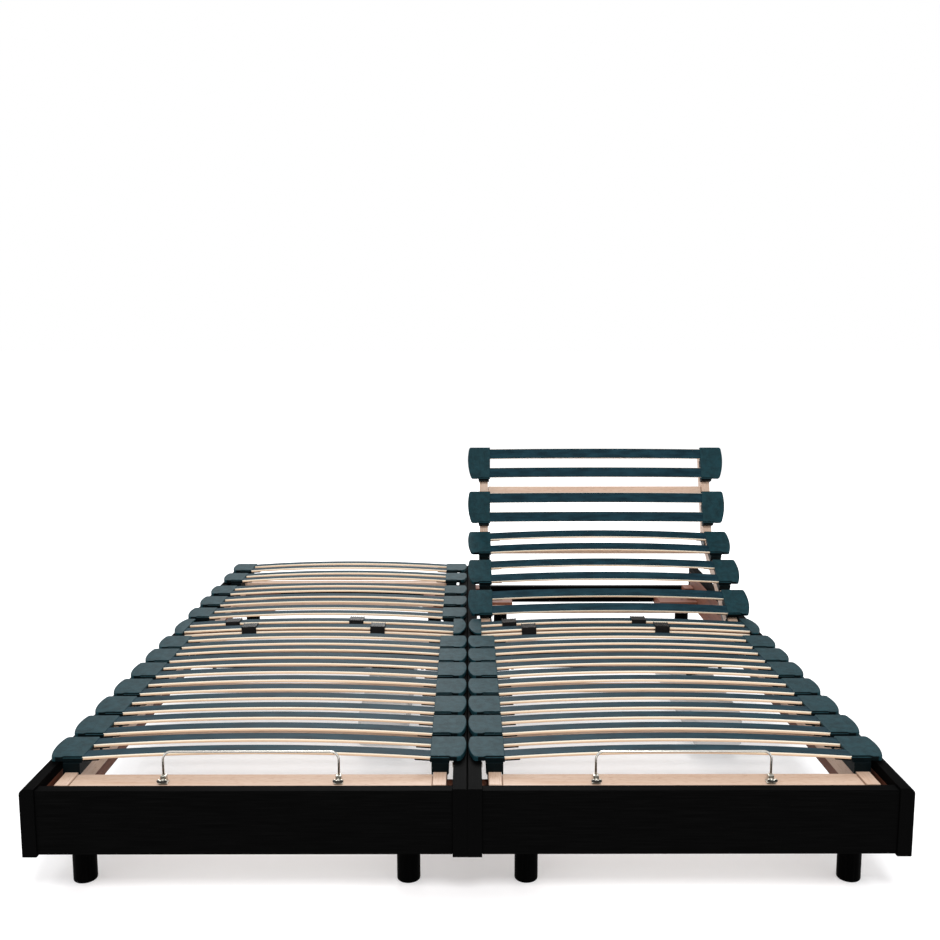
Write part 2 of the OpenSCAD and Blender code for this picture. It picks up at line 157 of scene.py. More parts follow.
class Piece:
    """One visible object, gathered from closed shells. Each point also keeps its place along, across
    and through its own shell, which the wood, foil and plastic patterns follow."""

    def __init__(self, name):
        self.name, self.count = name, 0
        self.points, self.faces, self.finishes, self.grain = [], [], [], []

    def add(self, bm, place=None, own=None):
        """Adds a bmesh. own gives (middle, order of the axes from long to thin) of its pattern."""
        place = place or Matrix.Identity(4)
        bm.verts.index_update()
        co = [vert.co.copy() for vert in bm.verts]
        middle, order = own or own_axes(co)
        shift = self.count * GRAIN_SHIFT
        flips = place.determinant() < 0
        start = len(self.points)
        for point in co:
            local = point - middle
            self.grain.append(Vector((local[order[0]], local[order[1]], local[order[2]])) + shift)
            self.points.append(place @ point)
        for face in bm.faces:
            loop = [start + vert.index for vert in face.verts]
            self.faces.append(loop[::-1] if flips else loop)
            self.finishes.append(face.material_index)
        self.count += 1
        bm.free()

    def build(self, node, materials):
        """Links the object, lets it ride on its node's body and stand for the node."""
        mesh = bpy.data.meshes.new(self.name)
        mesh.from_pydata([tuple(p) for p in self.points], [], self.faces)
        grain = mesh.attributes.new("grain", "FLOAT_VECTOR", "POINT")
        grain.data.foreach_set("vector", [c for point in self.grain for c in point])
        for material in materials:
            mesh.materials.append(material)
        mesh.polygons.foreach_set("material_index", self.finishes)
        mesh.polygons.foreach_set("use_smooth", [True] * len(self.faces))
        mesh.set_sharp_from_angle(angle=SHARP)
        mesh.update()
        piece = bpy.data.objects.new(self.name, mesh)
        bpy.context.scene.collection.objects.link(piece)
        weighted = piece.modifiers.new("even shading", "WEIGHTED_NORMAL")
        weighted.keep_sharp = True
        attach(piece, frame["nodes"][node]["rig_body"])
        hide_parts(node)


def own_axes(points):
    """Middle of a shell's box, and its axes from the longest to the shortest."""
    low = Vector([min(p[i] for p in points) for i in range(3)])
    high = Vector([max(p[i] for p in points) for i in range(3)])
    size = high - low
    return (low + high) / 2, sorted(range(3), key=lambda i: -size[i])


def as_bmesh(points, faces):
    bm = bmesh.new()
    verts = [bm.verts.new(p) for p in points]
    for face in faces:
        bm.faces.new([verts[i] for i in face])
    bm.normal_update()
    return bm


def round_edges(bm, radius, segments=2, sharper_than=35):
    """Rounds every edge that turns more than the given angle."""
    bm.normal_update()
    limit = math.radians(sharper_than)
    edges = [e for e in bm.edges if len(e.link_faces) == 2 and e.calc_face_angle(0) > limit]
    bmesh.ops.bevel(
        bm, geom=edges, offset=radius, segments=segments, profile=0.5, affect="EDGES", clamp_overlap=True
    )
    return bm


def refined(solid, radius, segments=2):
    """A CAD solid with clean flat faces and rounded edges."""
    bm = as_bmesh(solid.points, solid.faces)
    bmesh.ops.recalc_face_normals(bm, faces=bm.faces)
    bmesh.ops.dissolve_limit(bm, angle_limit=math.radians(0.5), verts=bm.verts, edges=bm.edges)
    return round_edges(bm, radius, segments)


def prism(outline, low, high, radius=0.0, segments=2):
    """A flat outline in X and Y, raised from low to high, with rounded edges."""
    count = len(outline)
    points = [(x, y, low) for x, y in outline] + [(x, y, high) for x, y in outline]
    sides = [[i, (i + 1) % count, count + (i + 1) % count, count + i] for i in range(count)]
    bm = as_bmesh(points, sides + [list(range(count))[::-1], list(range(count, 2 * count))])
    bmesh.ops.recalc_face_normals(bm, faces=bm.faces)
    if radius:
        round_edges(bm, radius, segments)
    return bm


def block(low, high, radius=0.0, segments=2):
    """A block with rounded edges, from its lowest to its highest corner."""
    corners = [(low[0], low[1]), (high[0], low[1]), (high[0], high[1]), (low[0], high[1])]
    return prism(corners, low[2], high[2], radius, segments)


def arc(centre, radius, start, end, steps):
    """Points of a flat arc, angles in degrees."""
    turns = [math.radians(start + (end - start) * i / steps) for i in range(steps + 1)]
    return [(centre[0] + radius * math.cos(a), centre[1] + radius * math.sin(a)) for a in turns]


def lathe(profile, sides=32):
    """A closed shell turned about Z from (radius, height) points; the first and last lie on the axis."""
    bm = bmesh.new()
    rings = []
    for radius, height in profile:
        if radius < TINY:
            rings.append([bm.verts.new((0, 0, height))])
            continue
        turns = [2 * math.pi * i / sides for i in range(sides)]
        rings.append([bm.verts.new((radius * math.cos(a), radius * math.sin(a), height)) for a in turns])
    for lower, upper in zip(rings, rings[1:]):
        for i in range(sides):
            j = (i + 1) % sides
            below = (lower[i % len(lower)], lower[j % len(lower)])
            above = (upper[j % len(upper)], upper[i % len(upper)])
            bm.faces.new(list(dict.fromkeys(below + above)))
    bmesh.ops.recalc_face_normals(bm, faces=bm.faces)
    return bm


def sweep(rings):
    """A closed shell through rings of equally many points, capped at both ends."""
    bm = bmesh.new()
    made = [[bm.verts.new(p) for p in ring] for ring in rings]
    count = len(made[0])
    for first, second in zip(made, made[1:]):
        for i in range(count):
            j = (i + 1) % count
            bm.faces.new([first[i], first[j], second[j], second[i]])
    bm.faces.new(made[0][::-1])
    bm.faces.new(made[-1])
    bmesh.ops.recalc_face_normals(bm, faces=bm.faces)
    return bm


# ---- materials ----


class Nodes:
    """A short way to write a node tree."""

    def __init__(self, name):
        self.material = bpy.data.materials.new(name)
        self.material.use_nodes = True
        self.tree = self.material.node_tree
        self.shader = self.tree.nodes["Principled BSDF"]

    def make(self, kind, inputs=(), **settings):
        node = self.tree.nodes.new(kind)
        for key, value in settings.items():
            setattr(node, key, value)
        for key, value in dict(inputs).items():
            self.feed(node.inputs[key], value)
        return node

    def feed(self, socket, value):
        if isinstance(value, bpy.types.NodeSocket):
            self.tree.links.new(value, socket)
        else:
            socket.default_value = value

    def set(self, **inputs):
        for key, value in inputs.items():
            self.feed(self.shader.inputs[key.replace("_", " ")], value)

    def grain(self, scale=(1, 1, 1)):
        """The shell's own coordinates, stretched."""
        own = self.make("ShaderNodeAttribute", attribute_name="grain")
        return self.make("ShaderNodeMapping", {"Vector": own.outputs["Vector"], "Scale": scale}).outputs[0]

    def noise(self, vector, scale, detail=2.0, rough=0.5):
        inputs = {"Vector": vector, "Scale": scale, "Detail": detail, "Roughness": rough}
        return self.make("ShaderNodeTexNoise", inputs).outputs["Fac"]

    def ramp(self, factor, stops, steps="LINEAR"):
        """A colour ramp from (place, colour) stops."""
        node = self.make("ShaderNodeValToRGB", {"Fac": factor})
        ramp = node.color_ramp
        ramp.interpolation = steps
        while len(ramp.elements) < len(stops):
            ramp.elements.new(0.5)
        for element, (place, colour) in zip(ramp.elements, stops):
            element.position = place
            element.color = (*colour, 1)
        return node.outputs["Color"]

    def mask(self, factor, start, end, low=0.0, high=1.0):
        """A grey ramp from low at start to high at end."""
        return self.ramp(factor, [(start, (low,) * 3), (end, (high,) * 3)])

    def mix(self, factor, first, second):
        node = self.make("ShaderNodeMix", data_type="RGBA")
        for key, value in ((0, factor), (6, first), (7, second)):
            colour = (*value, 1) if isinstance(value, tuple) else value
            self.feed(node.inputs[key], colour)
        return node.outputs[2]

    def maths(self, operation, first, second=0.0):
        node = self.make("ShaderNodeMath", operation=operation)
        self.feed(node.inputs[0], first)
        self.feed(node.inputs[1], second)
        return node.outputs[0]

    def spread(self, factor, low, high):
        """Maps 0..1 to low..high."""
        node = self.make("ShaderNodeMapRange", {"Value": factor, "To Min": low, "To Max": high})
        return node.outputs["Result"]

    def bump(self, height, distance, strength=1.0):
        node = self.make("ShaderNodeBump", {"Height": height, "Distance": distance, "Strength": strength})
        self.feed(self.shader.inputs["Normal"], node.outputs["Normal"])


def srgb(red, green, blue):
    """A colour given as it looks on screen, 0 to 255, in linear light."""
    shares = (red / 255, green / 255, blue / 255)
    return tuple(c / 12.92 if c <= 0.04045 else ((c + 0.055) / 1.055) ** 2.4 for c in shares)


def wood(name, pale, dark, fleck, gloss=0.45):
    """Planed timber: slow growth bands and short dark rays, both drawn out along the grain."""
    n = Nodes(name)
    bands = n.noise(n.grain((1.2, 26, 26)), 1.6, 4, 0.6)
    rays = n.noise(n.grain((60, 900, 900)), 1.0, 1.0, 0.4)
    streaks = n.noise(n.grain((5, 420, 420)), 1.0, 3.0, 0.55)
    half_way = tuple(0.55 * p + 0.45 * d for p, d in zip(pale, dark))
    base = n.ramp(bands, [(0.3, dark), (0.5, pale), (0.68, half_way)])
    streaked = n.mix(n.mask(streaks, 0.42, 0.75, high=0.5), base, dark)
    ray_mask = n.mask(rays, 0.6, 0.7, high=0.55)
    n.set(Base_Color=n.mix(ray_mask, streaked, fleck), Roughness=n.spread(streaks, gloss - 0.06, gloss + 0.1))
    n.set(Specular_IOR_Level=0.35)
    n.bump(streaks, 0.12 * MM, 0.5)
    return n.material


def lacquer(name, colour, gloss, grain_depth, specular):
    """Black stained or lacquered timber: the grain shows only as a faint relief and change of gloss."""
    n = Nodes(name)
    pores = n.noise(n.grain((9, 620, 620)), 1.0, 3.0, 0.6)
    cloud = n.noise(n.grain((3, 9, 9)), 1.0, 2.0)
    lighter = tuple(2.0 * c + 0.001 for c in colour)
    n.set(Base_Color=n.mix(n.mask(pores, 0.45, 0.7, high=0.6), colour, lighter))
    n.set(Roughness=n.spread(cloud, gloss - 0.05, gloss + 0.08), Specular_IOR_Level=specular)
    n.bump(pores, grain_depth, 0.6)
    return n.material


def foil(name):
    """The slats' dark teal wrap: a fine printed weave-like grain with a soft sheen."""
    n = Nodes(name)
    fine = n.noise(n.grain((500, 1500, 1500)), 1.0, 2.0, 0.6)
    streak = n.noise(n.grain((14, 700, 700)), 1.0, 2.0, 0.5)
    worn = n.noise(n.grain((18, 70, 70)), 1.0, 4.0, 0.6)
    base = n.mix(n.mask(worn, 0.36, 0.64), srgb(5, 28, 37), srgb(18, 47, 57))
    speckled = n.mix(n.mask(fine, 0.5, 0.72, high=0.55), base, srgb(42, 70, 80))
    n.set(Base_Color=n.mix(n.mask(streak, 0.3, 0.5, low=0.35, high=0.0), speckled, srgb(3, 18, 26)))
    n.set(Roughness=n.spread(fine, 0.5, 0.66), Specular_IOR_Level=0.05)
    n.bump(fine, 0.12 * MM, 0.7)
    return n.material


SLAT_THICKNESS = 8 * MM
SLAT_LAYER = 1.15 * MM
# The edge's colours, from its underside up, each from a share of its thickness
VENEERS = [
    (0.0, srgb(184, 152, 126)),
    (0.16, srgb(208, 178, 150)),
    (0.32, srgb(196, 166, 138)),
    (0.5, srgb(230, 216, 192)),
    (0.66, srgb(240, 232, 214)),
    (0.84, srgb(246, 240, 226)),
]


def laminate(name, layer, thickness):
    """The slats' glued edge: thin veneers, peach below and cream above, with fine glue lines."""
    n = Nodes(name)
    own = n.make("ShaderNodeAttribute", attribute_name="grain")
    height = n.make("ShaderNodeSeparateXYZ", {"Vector": own.outputs["Vector"]}).outputs["Z"]
    veneers = n.ramp(n.maths("ADD", n.maths("MULTIPLY", height, 1 / thickness), 0.5), VENEERS, "CONSTANT")
    within = n.maths("FRACT", n.maths("ADD", n.maths("MULTIPLY", height, 1 / layer), 100.0))
    glue = n.ramp(within, [(0.0, (1, 1, 1)), (0.1, (0, 0, 0)), (0.9, (0, 0, 0)), (1.0, (1, 1, 1))])
    fibre = n.noise(n.grain((8, 900, 900)), 1.0, 3.0, 0.6)
    warm = n.mask(n.noise(n.grain((2.2, 3, 3)), 1.4, 2.0), 0.45, 0.7, high=0.45)
    toned = n.mix(warm, veneers, srgb(228, 202, 174))
    fibres = n.mix(n.mask(fibre, 0.5, 0.75, high=0.35), toned, srgb(204, 172, 142))
    n.set(Base_Color=n.mix(n.maths("MULTIPLY", glue, 0.22), fibres, srgb(168, 128, 96)))
    n.set(Roughness=n.spread(fibre, 0.5, 0.65), Specular_IOR_Level=0.3)
    n.bump(fibre, 0.1 * MM, 0.5)
    return n.material


# How much of its unevenness a moulding's paler and darker patches take
PALER_SHARE, DARKER_SHARE = 1.16, 0.93
PATCH_SCALE = 60.0


def moulded(name, colour, speck, grain_size, roughness, depth, specular=0.35, uneven=0.3):
    """Moulded rubber or plastic: a fine leathery grain with paler high spots, and soft paler and
    darker patches as strong as uneven says."""
    n = Nodes(name)
    cells = n.make("ShaderNodeTexVoronoi", {"Vector": n.grain(), "Scale": 1 / grain_size})
    fine = n.noise(n.grain(), 0.8 / grain_size, 3.0, 0.6)
    cloud = n.noise(n.grain(), PATCH_SCALE, 5.0, 0.65)
    paler = tuple((1 + PALER_SHARE * uneven) * c for c in colour)
    darker = tuple((1 - DARKER_SHARE * uneven) * c for c in colour)
    base = n.mix(n.mask(cloud, 0.36, 0.64), paler, darker)
    specks = n.mask(fine, 0.48, 0.7, high=0.6)
    n.set(Base_Color=n.mix(specks, base, speck))
    n.set(Roughness=n.spread(cloud, roughness - 0.05, roughness + 0.07), Specular_IOR_Level=specular)
    n.bump(n.maths("ADD", cells.outputs["Distance"], n.maths("MULTIPLY", fine, 0.6)), depth, 0.7)
    return n.material


def metal(name, colour, roughness, metallic=1.0, flaw=0.3):
    """Wire, zinc or painted steel, with fine draw lines and faint cloudiness."""
    n = Nodes(name)
    lines = n.noise(n.grain((30, 1400, 1400)), 1.0, 2.0)
    cloud = n.noise(n.grain(), 45.0, 4.0, 0.6)
    darker = tuple(c * (1 - flaw) for c in colour)
    n.set(Base_Color=n.mix(n.spread(cloud, 0.0, 1.0), colour, darker), Metallic=metallic)
    n.set(Roughness=n.spread(lines, roughness - 0.06, roughness + 0.08))
    n.bump(lines, 0.04 * MM, 0.4)
    return n.material


BEECH = (srgb(184, 160, 142), srgb(172, 142, 120), srgb(132, 94, 68))
FINISHES = {
    "stained_panel": lacquer("black stain", srgb(4, 4, 4), 0.5, 0.15 * MM, 0.004),
    "black_leg": lacquer("black leg lacquer", srgb(2, 2, 2), 0.36, 0.05 * MM, 0.006),
    "bare_wood": wood("reddish softwood", srgb(112, 62, 38), srgb(80, 40, 24), srgb(56, 26, 16), 0.6),
    "dark_steel": metal("black powder coat", srgb(24, 25, 27), 0.5, 0.0, 0.25),
    "zinc_steel": metal("zinc plate", srgb(190, 187, 178), 0.36),
    "bright_wire": metal("bright drawn wire", srgb(206, 203, 196), 0.2, flaw=0.12),
    "beech": wood("clear lacquered beech", *BEECH),
    "holder_rubber": moulded(
        "teal rubber", srgb(10, 39, 45), srgb(42, 69, 75), 1.1 * MM, 0.58, 0.12 * MM, specular=0.07
    ),
    "slat_foil": foil("teal slat foil"),
    "slider_plastic": moulded(
        "black slider nylon", srgb(8, 8, 9), srgb(30, 31, 33), 0.9 * MM, 0.42, 0.06 * MM, 0.12, uneven=0.1
    ),
    "drive_plastic": moulded(
        "pale housing plastic", srgb(196, 198, 199), srgb(206, 208, 209), 1.6 * MM, 0.5, 0.1 * MM, uneven=0.02
    ),
}
EDGE = laminate("glued slat edge", SLAT_LAYER, SLAT_THICKNESS)
# A darker copy of the teal rubber: painted shade for what lies under the holders' plates and up their foot
# rims.
PAINTED_SHADE_RUBBER = moulded(
    "teal rubber in painted shade", srgb(3, 9, 11), srgb(13, 23, 26), 1.1 * MM, 0.5, 0.1 * MM, specular=0.05
)
RAW_WOOD = wood("unstained inner face", srgb(104, 56, 33), srgb(72, 35, 21), srgb(50, 23, 14), 0.62)


# ---- slats ----

SLAT_CORNER = 1.4 * MM
SLAT_STEPS = 32
CORNER_STEPS = 3
FOIL_SIDE, GLUED_SIDE, BARE_SIDE = 0, 1, 2


def slat_section(width, thickness):
    """Outline of a slat's section, from its underside round: (y, z) points with small round corners."""
    half, r = width / 2, SLAT_CORNER
    outline = []
    corners = ((half - r, r), (half - r, thickness - r), (r - half, thickness - r), (r - half, r))
    for turn, corner in enumerate(corners):
        start = 90 * turn - 90
        outline += arc(corner, r, start, start + 90, CORNER_STEPS)
    return outline


def slat_shell(solid):
    """A bowed slat with the CAD solid's ends, width, thickness and rise; top foil, glued edges."""
    low, high = solid.low, solid.high
    end_low, end_high = solid.at(0, low.x)
    thickness, rise = end_high.z - end_low.z, high.z - end_high.z
    half, middle_y = (high.x - low.x) / 2, (low.y + high.y) / 2
    outline = slat_section(high.y - low.y, thickness)
    rings = []
    for i in range(SLAT_STEPS + 1):
        x = -half + 2 * half * i / SLAT_STEPS
        lift = end_low.z + rise * (1 - (x / half) ** 2)
        rings.append([((low.x + high.x) / 2 + x, middle_y + y, lift + z) for y, z in outline])
    bm = sweep(rings)
    round_corner = CORNER_STEPS + 1
    bm.faces.ensure_lookup_table()
    count = len(outline)
    for index, face in enumerate(bm.faces):
        side = index % count
        is_cap = index >= count * SLAT_STEPS
        on_top = round_corner + 2 <= side < 3 * round_corner - 2
        under = side == count - 1 or side < 1
        if is_cap or not (on_top or under):
            face.material_index = GLUED_SIDE
        else:
            face.material_index = BARE_SIDE if under else FOIL_SIDE
    return bm


def add_slat(piece, solid):
    """Adds a slat, its pattern bent with it, so that the veneers run along its edge."""
    bm = slat_shell(solid)
    half = (solid.high.x - solid.low.x) / 2
    rise = solid.high.z - solid.at(0, solid.low.x)[1].z
    middle = (solid.low + solid.high) / 2
    start = len(piece.points)
    piece.add(bm, solid.place, (middle, (0, 1, 2)))
    for point in piece.grain[start:]:
        x = point.x - GRAIN_SHIFT.x * (piece.count - 1)
        point.z -= rise * (1 - (x / half) ** 2) - rise / 2


def build_slats(node):
    piece = Piece(node + "_bowed")
    for solid in solids_of(node):
        add_slat(piece, solid)
    top = FINISHES[slots[node]]
    piece.build(node, [top, EDGE, FINISHES["beech"]])


# ---- holders ----

# The plate, seen from above
PLATE_OVERHANG = 2 * MM
INNER_CORNER = 2 * MM
FOOT_CORNER = 11 * MM
HEAD_CORNER = 8 * MM
PLATE_BULGE = 180 * MM
WIDEST_AT = 0.6
PLATE_ARC_STEPS = 14
OUTER_CORNER_STEPS = 6
INNER_CORNER_STEPS = 3
# The lobe of its foot edge
LOBE_FROM = 0.5
LOBE_STEP = 4.5 * MM
LOBE_BLEND = 7 * MM
# Its section, and the deeper rim under its outer part
PLATE_T = 6 * MM
PLATE_ROUND = 2.4 * MM
ROUND_STEPS = 4
LOWER_EASING = 0.6 * MM
CROWN = 0.8 * MM
CROWN_RINGS = (0.25, 0.5, 0.75)
SKIRT_FROM = 36 * MM
SKIRT_DEPTH = 11 * MM
SKIRT_INSET = 0.8 * MM
# The part that takes painted shade, a darker copy of the rubber
SHADE_SHARE = 0.72
SHADE_DROP = 0.5 * MM
SHADED_FOOT_RIM = 4 * MM
# The pocket under it, and the mouths that the slats' ends lie in
POCKET_DEPTH = 14 * MM
POCKET_REACH = 42 * MM
POCKET_INSET = 0.4 * MM
POCKET_TOP = 4 * MM
MOUTH_START = 5 * MM
MOUTH_DEPTH = 18.3 * MM
MOUTH_PLAY = 0.3 * MM
BOW_ROOM = 1.5 * MM
# The clip over the rail and the tongues under the slats
WALL = 3.2 * MM
SLOT_DEPTH = 6.3 * MM
RIB_FROM = 5 * MM
RIB_GAP = 9 * MM
RIB_WIDTH = 3 * MM
RIB = 1.0 * MM
TONGUE_REACH = 33 * MM
TONGUE_ROOT = 2 * MM
TONGUE_STEPS = 6
TONGUE_TIP = 3.2 * MM
TONGUE_INSET = 1.5 * MM
TONGUE_GAP = 0.25 * MM


def plate_outline(width, length, bulge, widest_at, step=0.0):
    """Seen from above: straight inner edge at x = 0, bulging outer edge, its foot corner the rounder one.
    The foot edge can step out to a lobe over its outer part."""
    centre = (width - bulge, widest_at * length)

    def corner(r, y):
        x = centre[0] + math.sqrt((bulge - r) ** 2 - (y - centre[1]) ** 2)
        return (x, y), math.degrees(math.atan2(y - centre[1], x - centre[0]))

    front, front_turn = corner(FOOT_CORNER, FOOT_CORNER)
    rear, rear_turn = corner(HEAD_CORNER, length - HEAD_CORNER)
    lobe = LOBE_FROM * width
    return (
        arc((INNER_CORNER, INNER_CORNER + step), INNER_CORNER, 180, 270, INNER_CORNER_STEPS)
        + ([(lobe, step), (lobe + 0.6 * LOBE_BLEND, 0.4 * step), (lobe + LOBE_BLEND, 0)] if step else [])
        + arc(front, FOOT_CORNER, -90, front_turn, OUTER_CORNER_STEPS)
        + arc(centre, bulge, front_turn, rear_turn, PLATE_ARC_STEPS)[1:-1]
        + arc(rear, HEAD_CORNER, rear_turn, 90, OUTER_CORNER_STEPS)
        + arc((INNER_CORNER, length - INNER_CORNER), INNER_CORNER, 90, 180, INNER_CORNER_STEPS)
    )


def crowned_plate(outline, low, high):
    """A plate with a rounded top edge and a slight crown over its middle."""
    middle = Vector((sum(x for x, _ in outline), sum(y for _, y in outline))) / len(outline)
    shoulder = high - CROWN

    def ring(inset, z):
        points = []
        for x, y in outline:
            step = (middle - Vector((x, y))).normalized() * inset
            points.append((x + step.x, y + step.y, z))
        return points

    rings = [ring(LOWER_EASING, low), ring(0, low + LOWER_EASING)]
    for i in range(ROUND_STEPS + 1):
        turn = math.radians(90 * i / ROUND_STEPS)
        rings.append(ring(PLATE_ROUND * (1 - math.cos(turn)), shoulder - PLATE_ROUND * (1 - math.sin(turn))))
    top = ring(PLATE_ROUND, shoulder)
    for share in CROWN_RINGS:
        lift = CROWN * (1 - (1 - share) ** 2)
        rings.append([(x + (middle.x - x) * share, y + (middle.y - y) * share, z + lift) for x, y, z in top])
    return sweep(rings)


def joined(solids, cuts=()):
    """The closed shell of some solids joined into one, with others cut out of it."""
    made = []
    for bm in [*solids, *cuts]:
        mesh = bpy.data.meshes.new("part")
        bm.to_mesh(mesh)
        bm.free()
        part = bpy.data.objects.new("part", mesh)
        bpy.context.scene.collection.objects.link(part)
        made.append(part)
    for index, part in enumerate(made[1:], start=1):
        step = made[0].modifiers.new(f"step {index}", "BOOLEAN")
        step.object, step.solver = part, "EXACT"
        step.operation = "UNION" if index < len(solids) else "DIFFERENCE"
    graph = bpy.context.evaluated_depsgraph_get()
    result = bpy.data.meshes.new_from_object(made[0].evaluated_get(graph))
    for part in made:
        bpy.data.objects.remove(part)
    bm = bmesh.new()
    bm.from_mesh(result)
    bpy.data.meshes.remove(result)
    bmesh.ops.dissolve_degenerate(bm, dist=TINY, edges=bm.edges)
    return bm


def side_prism(outline, y_low, y_high, radius):
    """An outline in X and Z, drawn out along Y."""
    bm = prism(outline, -y_high, -y_low, radius, 1)
    bmesh.ops.transform(bm, matrix=Matrix.Rotation(math.pi / 2, 4, "X"), verts=bm.verts)
    return bm


class Bow:
    """A slat's width, thickness and curve, which all slats of its node share."""

    def __init__(self, slat):
        end_low, end_high = slat.at(0, slat.low.x)
        self.width, self.thickness = slat.high.y - slat.low.y, end_high.z - end_low.z
        self.half, self.rise, self.end = (slat.high.x - slat.low.x) / 2, slat.high.z - end_high.z, end_low.z

    def under(self, x):
        """Height of the slat's underside at a distance from the unit's middle."""
        return self.end + self.rise * (1 - (x / self.half) ** 2)


def tongue(bow, inner_x, y, floor_z):
    """The springy tongue that carries a slat beside its pocket, tapering along its underside."""
    length = TONGUE_REACH + TONGUE_ROOT
    xs = [inner_x + TONGUE_ROOT - length * i / TONGUE_STEPS for i in range(TONGUE_STEPS + 1)]
    top = [(x, bow.under(x) - TONGUE_GAP) for x in xs]
    tip_low = top[-1][1] - TONGUE_TIP
    root_low = floor_z + 0.2 * MM
    low = [(x, root_low + (tip_low - root_low) * i / TONGUE_STEPS) for i, x in enumerate(xs)]
    return side_prism(top + low[::-1], y + TONGUE_INSET, y + bow.width - TONGUE_INSET, 0.6 * MM)


def rail_clip(foot_low, foot_high, top):
    """The ribbed saddle over a beech rail, and the slot that the rail lies in."""
    solids = [block(foot_low, (foot_high.x, foot_high.y, top), 1.2 * MM)]
    for i in range(int((foot_high.y - foot_low.y - 2 * RIB_FROM) // RIB_GAP) + 1):
        y = foot_low.y + RIB_FROM + i * RIB_GAP
        rib_low = (foot_high.x - RIB, y, foot_low.z + 0.5 * MM)
        solids.append(block(rib_low, (foot_high.x + RIB, y + RIB_WIDTH, top - 3 * MM), 0.4 * MM))
    slot_high = (foot_high.x - WALL, foot_high.y + 1, foot_low.z + SLOT_DEPTH)
    slot = block((foot_low.x + WALL, foot_low.y - 1, foot_low.z - 1), slot_high)
    return solids, slot


def mouth(bow, inner_x, y, depth=MOUTH_DEPTH):
    """The pocket that a slat's end lies in."""
    low = (inner_x - MOUTH_START, y - MOUTH_PLAY, bow.end - MOUTH_PLAY)
    high = (inner_x + depth, y + bow.width + MOUTH_PLAY, bow.end + bow.thickness + BOW_ROOM)
    return block(low, high)


def skirt_under(outline, corner, top_z):
    """A deeper rim under the outer part of a plate, a little inside its edge."""
    length = max(y for _, y in outline)
    x_high, x_low = max(x for x, _ in outline) - SKIRT_INSET, SKIRT_FROM
    y_low, y_high = SKIRT_INSET, length - SKIRT_INSET
    points = [(min(x, x_high), min(max(y, y_low), y_high)) for x, y in outline if x > x_low + LOBE_BLEND]
    points = [(x_low, y_low)] + points + [(x_low, y_high)]
    placed = [(corner.x + x, corner.y + y) for x, y in points]
    return prism(placed, top_z - SKIRT_DEPTH, top_z - PLATE_T + 1 * MM)


def paint_shade_below(bm, height, up_to_x=1.0, shaded_rim_rise=0.0):
    """Paints shade: gives a darker copy of the finish to what lies below a height and nearer to the middle
    than an x, and to so much more of the rim towards the foot."""
    bm.normal_update()
    for face in bm.faces:
        middle = face.calc_center_median()
        limit = height + (shaded_rim_rise if face.normal.y < -0.5 else 0)
        face.material_index = 1 if middle.z < limit and middle.x < up_to_x else 0
    return bm


def holder(solid, rows, bow):
    """One slat holder, its slats lying towards -X: a crowned plate, two pockets with tongues and a clip."""
    top_low, top_high = solid.at(2, solid.high.z)
    foot_low, foot_high = solid.at(2, solid.low.z)
    top_z, floor_z = solid.high.z, solid.high.z - POCKET_DEPTH
    width = top_high.x - top_low.x + PLATE_OVERHANG
    outline = plate_outline(width, top_high.y - top_low.y, PLATE_BULGE, WIDEST_AT, LOBE_STEP)
    plate = crowned_plate([(top_low.x + x, top_low.y + y) for x, y in outline], top_z - PLATE_T, top_z)
    pocket_low = (top_low.x + 0.1 * MM, top_low.y + POCKET_INSET, floor_z)
    pocket_high = (top_low.x + POCKET_REACH, top_high.y - POCKET_INSET, top_z - POCKET_TOP)
    pocket = block(pocket_low, pocket_high, 1.0 * MM)
    skirt = skirt_under(outline, top_low, top_z)
    clip, rail_slot = rail_clip(foot_low, foot_high, floor_z + 1 * MM)
    tongues = [tongue(bow, top_low.x, y, floor_z) for y in rows]
    cuts = [rail_slot] + [mouth(bow, top_low.x, y) for y in rows]
    shell = joined([plate, pocket, skirt, *clip, *tongues], cuts)
    # Painted shade: the darker rubber goes under the plate, on the pocket, clip and tongues, and up the foot
    # rim.
    return paint_shade_below(shell, top_z - PLATE_T + SHADE_DROP, top_low.x + SHADE_SHARE * width, SHADED_FOOT_RIM)


def flip_for(solid):
    """Mirrors a solid that lies left of its unit's middle, so that its slats lie towards -X."""
    return Matrix.Scale(-1, 4, (1, 0, 0)) if solid.low.x < 0 else Matrix.Identity(4)


def mirrored(solid, flip):
    """The points of a solid after its flip."""
    return Solid(np.array([flip @ Vector(p) for p in solid.points]), [], None)


def build_holders(node):
    piece = Piece(node + "_moulded")
    slats = solids_of(node.replace("holders", "slats"))
    bow = Bow(slats[0])
    for solid in solids_of(node):
        flip = flip_for(solid)
        model = mirrored(solid, flip)
        rows = [slat.low.y for slat in slats if solid.low.y - 1 * MM < slat.low.y < solid.high.y]
        piece.add(holder(model, rows, bow), solid.place @ flip, (model.low, (0, 1, 2)))
    piece.build(node, [FINISHES[slots[node]], PAINTED_SHADE_RUBBER])


for unit in UNITS:
    for section in SECTIONS:
        build_slats(f"{unit}_{section}_slats")
        build_holders(f"{unit}_{section}_holders")
for node in ("lumbar_upper_slats", "lumbar_lower_slats"):
    build_slats(node)


# ---- lumbar end caps and firmness sliders ----

LUMBAR_WIDEST_AT = 0.55
LUMBAR_BULGE = 200 * MM
LUMBAR_RIM = 6 * MM
LUMBAR_FLOOR = 11 * MM
LUMBAR_BOX_END = 22 * MM
SLIDER_WALL = 3 * MM
SLIDER_WAIST = 1.4 * MM
SLIDER_FLANGE = 3.2 * MM
SLIDER_RIBS = 5
SLIDER_RIB = (2.2 * MM, 1.8 * MM)
SLIDER_RIB_INSET = 3 * MM


